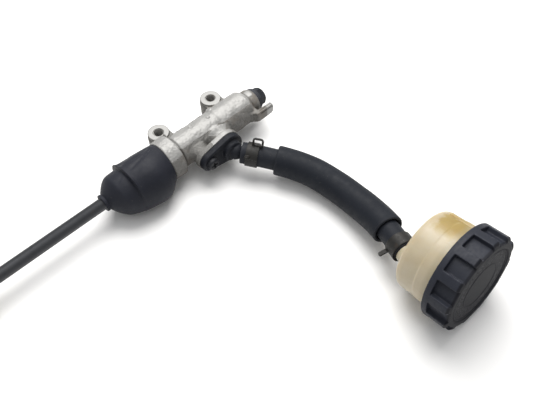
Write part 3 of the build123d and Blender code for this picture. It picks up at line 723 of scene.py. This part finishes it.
# The boot's outside: x, radius on top, radius underneath and droop towards -Y, in mm.
BOOT_OUTSIDE = [
    (-70.6, 4.7, 4.7, 0.0), (-70.3, 5.1, 5.1, 0.0), (-69.3, 5.1, 5.1, 0.0), (-68.7, 4.9, 4.9, 0.1),
    (-67.7, 6.3, 6.6, 0.2), (-66.0, 8.4, 9.0, 0.4), (-64.0, 10.4, 11.2, 0.7), (-61.8, 12.0, 12.8, 1.2),
    (-60.0, 12.5, 13.6, 1.4), (-57.5, 12.9, 14.3, 1.7), (-55.0, 13.1, 14.8, 1.9), (-54.4, 13.4, 14.9, 2.0),
    (-54.0, 14.9, 15.0, 2.1), (-53.6, 15.4, 15.05, 2.2), (-53.0, 15.4, 15.1, 2.3), (-51.3, 15.3, 15.3, 2.5),
    (-46.0, 15.5, 15.9, 3.0), (-41.0, 15.6, 16.1, 3.4), (-38.0, 15.2, 15.9, 3.2), (-36.0, 14.7, 15.4, 2.7),
    (-33.5, 13.9, 14.4, 1.9), (-31.5, 13.2, 13.5, 1.2), (-29.7, 12.6, 12.7, 0.6), (-29.3, 12.2, 12.2, 0.5),
]
BOOT_INSIDE = [
    (-29.3, 11.5, 0.0), (-30.0, 11.1, 0.0), (-36.6, 11.1, 0.0), (-37.2, 12.9, 2.4), (-41.0, 14.0, 3.5),
    (-51.0, 13.5, 2.5), (-54.4, 11.4, 1.9), (-61.0, 10.2, 1.2), (-63.6, 8.4, 0.8), (-67.4, 5.0, 0.1),
    (-68.4, 3.6, 0.0), (-70.5, 3.6, 0.0), (-70.7, 4.2, 0.0),
]
# Creases in the rubber: (x, angle) ends in mm and degrees round the boot, with width and depth in mm.
CREASES = [
    ((-50.0, 92.0), (-33.5, 70.0), 0.8, 0.45),
    ((-44.0, 72.0), (-34.0, 62.0), 1.3, 0.3),
    ((-52.0, 62.0), (-46.0, 48.0), 1.6, 0.4),
    ((-62.0, 110.0), (-56.5, 92.0), 0.7, 0.22),
]
TOP_ANGLE = 75          # middle of the boot's upper side, in degrees round the boot
SKIN_R = 14.0           # the radius that turns degrees round the boot into mm along its skin
LIP_X = -53.7
LIP_END_TURN = 48       # how far from TOP_ANGLE the lip swells at either end, in degrees


def unrolled(x, angle):
    """A spot of the boot's skin laid out flat, in mm."""
    return Vector((x, math.radians(angle) * SKIN_R))


def crease_depth(x, angle):
    """How far the creases press in at a spot of the boot's skin."""
    total = 0.0
    here = unrolled(x, angle)
    for first, last, width, depth in CREASES:
        start, end = unrolled(*first), unrolled(*last)
        along = held((here - start).dot(end - start) / (end - start).length_squared)
        total += ridge((here - start.lerp(end, along)).length, 0.0, width, depth)
    return total


def make_boot():
    """Soft boot whose turned-up lip shows on top and dies away underneath."""
    outer = blended(BOOT_OUTSIDE, 5)
    profile = [(v[0], v[1]) for v in outer] + [(x, r) for x, r, _ in BOOT_INSIDE]
    droops = [v[3] for v in outer] + [droop for _, _, droop in BOOT_INSIDE]

    def shape(row, x, radius, angle):
        if row < len(outer):
            degrees = math.degrees(angle) % 360
            turn = abs((degrees - TOP_ANGLE + 180) % 360 - 180)
            on_top = held((115 - turn) / 70)
            under = outer[row][2]
            radius = under + (radius - under) * on_top * on_top * (3 - 2 * on_top)
            spot = Vector((x * 0.06, math.cos(angle), math.sin(angle)))
            soft = held((x + 66) / 6) * held((-30 - x) / 4)
            radius += soft * 0.4 * noise.noise(spot * 1.4)
            radius -= crease_depth(x, degrees) * soft
            radius += ridge(x, LIP_X, 0.9, 0.7) * ridge(turn, LIP_END_TURN, 22, 1.0)
        return x, radius, Vector((0, -droops[row], 0))

    turned = lathe(profile, (0, AXIS_Y, 0), (1, 0, 0), (0, 1, 0), 180, shape, loop=True)
    boot = new_object("boot", mesh_from("boot", *turned), "boot_rubber", None, ("dust_boot",))
    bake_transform(boot)


make_boot()


# ---------------------------------------------------------------- spring

def make_spring():
    """Return spring with closed ends, from the seat on the piston to the end of the bore."""
    start, end, wire, coil = 7.65, 27.95, 0.65, 4.2
    turns, dead_turns, per_turn, around = 8.5, 0.75, 40, 12
    closed_pitch = 2 * wire * 0.95
    rise = end - start - 2 * wire - 2 * dead_turns * closed_pitch
    rows = int(turns * per_turn)
    points = []
    for row in range(rows + 1):
        turn = row / per_turn
        lift = held((turn - dead_turns) / (turns - 2 * dead_turns))
        dead = min(turn, dead_turns) + max(turn - (turns - dead_turns), 0.0)
        phase = 2 * math.pi * turn
        spoke = Vector((0, math.cos(phase), math.sin(phase)))
        centre = Vector((start + wire + dead * closed_pitch + lift * rise, AXIS_Y, 0)) + spoke * coil
        for index in range(around):
            angle = 2 * math.pi * index / around
            points.append(centre + spoke * (wire * math.cos(angle))
                          + Vector((wire * math.sin(angle), 0, 0)))
    faces = tube_faces(rows + 1, around, False)
    faces += [tuple(range(around)), tuple(range(rows * around, (rows + 1) * around))]
    mesh = mesh_from("spring", points, faces)
    spring = new_object("spring", mesh, "plain_steel", None, ("return_spring",))
    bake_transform(spring)


make_spring()


# ---------------------------------------------------------------- connector and reservoir

HUB_CENTRE = Vector((6.5, -34.5, -0.3))
CAP_RIM_R = 21.2        # inner edge of the cap's raised rim
CAP_RINGS = [(19.9, 0.35, 0.45), (12.3, 0.3, 0.25)]     # radius, width and height of its ring lines


def hub_softness(place):
    """The connector's hub and knuckle run into each other; the rest keeps its edges."""
    return 1.0 if (place - HUB_CENTRE).length < 7.5 else 0.2


def cap_carving(place):
    """Sinks the cap's face a little inside its rim, with two raised ring lines."""
    offset = place - CAP_CENTRE
    depth = offset.dot(CAP_OUTWARD)
    radius = (offset - CAP_OUTWARD * depth).length
    if depth < CAP_FACE_START or radius > CAP_RIM_R + 0.2:
        return place
    sink = 0.7 * held((CAP_RIM_R - radius) / 0.5)
    sink -= sum(ridge(radius, *ring) for ring in CAP_RINGS)
    return place - CAP_OUTWARD * sink


refined("connector", "hose_connector", "black_plastic", "cylinder", voxel=0.22, smooth=16,
        soft=hub_softness)
refined("cup", "reservoir_cup", "aged_nylon", "cylinder", voxel=0.35, smooth=4)
refined("cap", "reservoir_cap", "cap_plastic", "cap", voxel=0.28, smooth=3, carve=cap_carving)


# ---------------------------------------------------------------- push rod

def make_rod():
    """Push rod with its ball nose and shoulder, and a rolled thread at the tail."""
    tail, thread_start, thread_end, pitch, thread_r = -155.0, -154.4, -135.0, 1.25, 3.9
    nose, nose_r = -27.6, 3.2
    rows = int((thread_end - thread_start) / pitch * 8)
    profile = [(tail, 0.0), (tail, 3.2)]
    profile += [(thread_start + (thread_end - thread_start) * i / rows, thread_r) for i in range(rows + 1)]
    profile += [(-134.6, 3.45), (-134.0, 3.5), (-31.2, 3.5), (-31.0, 3.7), (-31.0, 5.4), (-30.8, 5.6),
                (-29.8, 5.6), (-29.6, 5.4), (-29.6, 3.1), (-29.3, 2.9), (-28.6, 2.9)]
    for degrees in range(-20, 91, 10):
        angle = math.radians(degrees)
        profile.append((nose + nose_r * math.sin(angle), nose_r * math.cos(angle)))

    def shape(row, x, radius, angle):
        if radius == thread_r:
            phase = (x / pitch + angle / (2 * math.pi)) % 1.0
            radius -= 0.7 * abs(1 - 2 * phase)
        return x, radius, Vector()

    turned = lathe(profile, (0, AXIS_Y, 0), (1, 0, 0), (0, 0, 1), 64, shape)
    new_object("rod", mesh_from("rod", *turned), "black_steel", "rod", ("push_rod",))


make_rod()


# ---------------------------------------------------------------- CAD nodes that stay

# Material of each node, and the width of its edge rounding in mm.
KEPT = {
    "piston": ("anodised_aluminium", 0.15), "primary_cup": ("seal_rubber", 0.1),
    "secondary_cup": ("seal_rubber", 0.1), "spring_seat": ("plain_steel", 0.1),
    "stop_washer": ("zinc_steel", 0.12), "snap_ring": ("plain_steel", 0.1),
    "lock_nut": ("zinc_steel", 0.2), "clevis": ("zinc_steel", 0.35), "clevis_pin": ("zinc_steel", 0.15),
    "cotter_pin": ("zinc_steel", 0.0), "plug_washer": ("black_plastic", 0.15),
    "outlet_plug": ("black_plastic", 0.3), "connector_o_ring": ("seal_rubber", 0.0),
    "connector_screw": ("dull_black_steel", 0.15), "diaphragm": ("seal_rubber", 0.15),
    "diaphragm_plate": ("white_plastic", 0.2),
}
for node, (slot_name, width) in KEPT.items():
    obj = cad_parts[node]
    for index in range(len(obj.material_slots)):
        obj.material_slots[index].material = MATERIALS[slot_name]
    if width:
        bevel_node(node, width)


# ---------------------------------------------------------------- floor

def make_floor():
    """Plain pale floor just under the object."""
    look = Shader("floor", 0.6)
    look.colour(look.mix(look.noise(40.0, 3.0), (0.90, 0.90, 0.90, 1), (0.93, 0.93, 0.925, 1)))
    look.bump((look.noise(3.0), 0.02))
    half = 1200.0
    corners = [(x, y, FLOOR_Z) for x, y in ((-half, -half), (half, -half), (half, half), (-half, half))]
    mesh = mesh_from("floor", corners, [(0, 1, 2, 3)])
    mesh.materials.append(look.material)
    floor = bpy.data.objects.new("floor", mesh)
    bpy.context.collection.objects.link(floor)


make_floor()
